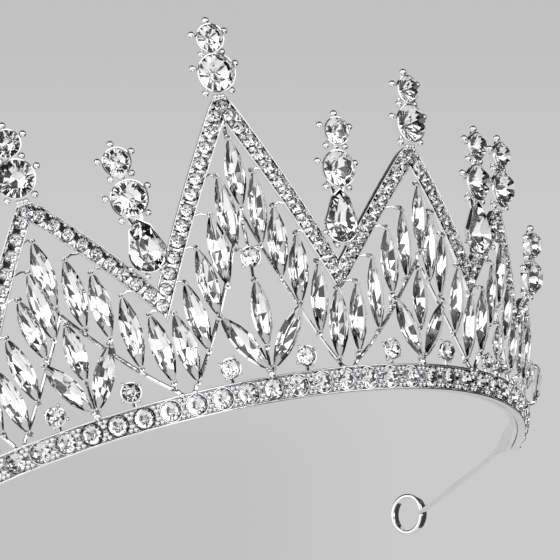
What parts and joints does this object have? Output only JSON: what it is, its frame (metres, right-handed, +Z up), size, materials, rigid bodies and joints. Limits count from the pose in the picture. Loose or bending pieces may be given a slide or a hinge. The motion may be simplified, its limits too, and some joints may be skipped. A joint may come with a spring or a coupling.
{
  "type": "tiara",
  "caption": "Bridal tiara: leaning stone-set peaks with marquise fans and claw-set finials on a curved band that ends in flat hairpin loops.",
  "frame": {"origin": "middle of the tiara's outline seen from above, at the level of the band's underside", "axes": "+Z up from the band's underside to the finials, -Y out of the front peak, +X to the tiara's right as seen from the front"},
  "size_m": [0.1554, 0.1304, 0.0731],
  "materials": {
    "silver": "bright plated silver, polished",
    "crystal": "clear cut crystal"
  },
  "bodies": {
    "root": {"drop_pear_front_left": "crystal", "drop_pear_front_right": "crystal", "drop_pear_side_left": "crystal", "drop_pear_side_right": "crystal", "drop_setting_front_left": "silver", "drop_setting_front_right": "silver", "drop_setting_side_left": "silver", "drop_setting_side_right": "silver", "drop_stone_large_front_left": "crystal", "drop_stone_large_front_right": "crystal", "drop_stone_large_side_left": "crystal", "drop_stone_large_side_right": "crystal", "drop_stone_small_front_left": "crystal", "drop_stone_small_front_right": "crystal", "drop_stone_small_side_left": "crystal", "drop_stone_small_side_right": "crystal", "finial_setting_centre": "silver", "finial_setting_end_left": "silver", "finial_setting_end_right": "silver", "finial_setting_inner_left": "silver", "finial_setting_inner_right": "silver", "finial_setting_outer_left": "silver", "finial_setting_outer_right": "silver", "finial_stone_large_centre": "crystal", "finial_stone_large_end_left": "crystal", "finial_stone_large_end_right": "crystal", "finial_stone_large_inner_left": "crystal", "finial_stone_large_inner_right": "crystal", "finial_stone_large_outer_left": "crystal", "finial_stone_large_outer_right": "crystal", "finial_stone_small_centre": "crystal", "finial_stone_small_end_left": "crystal", "finial_stone_small_end_right": "crystal", "finial_stone_small_inner_left": "crystal", "finial_stone_small_inner_right": "crystal", "finial_stone_small_outer_left": "crystal", "finial_stone_small_outer_right": "crystal", "frame_centre": "silver", "frame_end_left": "silver", "frame_end_right": "silver", "frame_inner_left": "silver", "frame_inner_right": "silver", "frame_outer_left": "silver", "frame_outer_right": "silver", "head_band": "silver", "lily_centre": "silver", "lily_inner_left": "silver", "lily_inner_right": "silver", "lily_outer_left": "silver", "lily_outer_right": "silver", "marquise_fan_centre": "silver", "marquise_fan_end_left": "silver", "marquise_fan_end_right": "silver", "marquise_fan_inner_left": "silver", "marquise_fan_inner_right": "silver", "marquise_fan_outer_left": "silver", "marquise_fan_outer_right": "silver", "stone_rail_centre": "silver", "stone_rail_left": "silver", "stone_rail_right": "silver"}
  },
  "joints": []
}
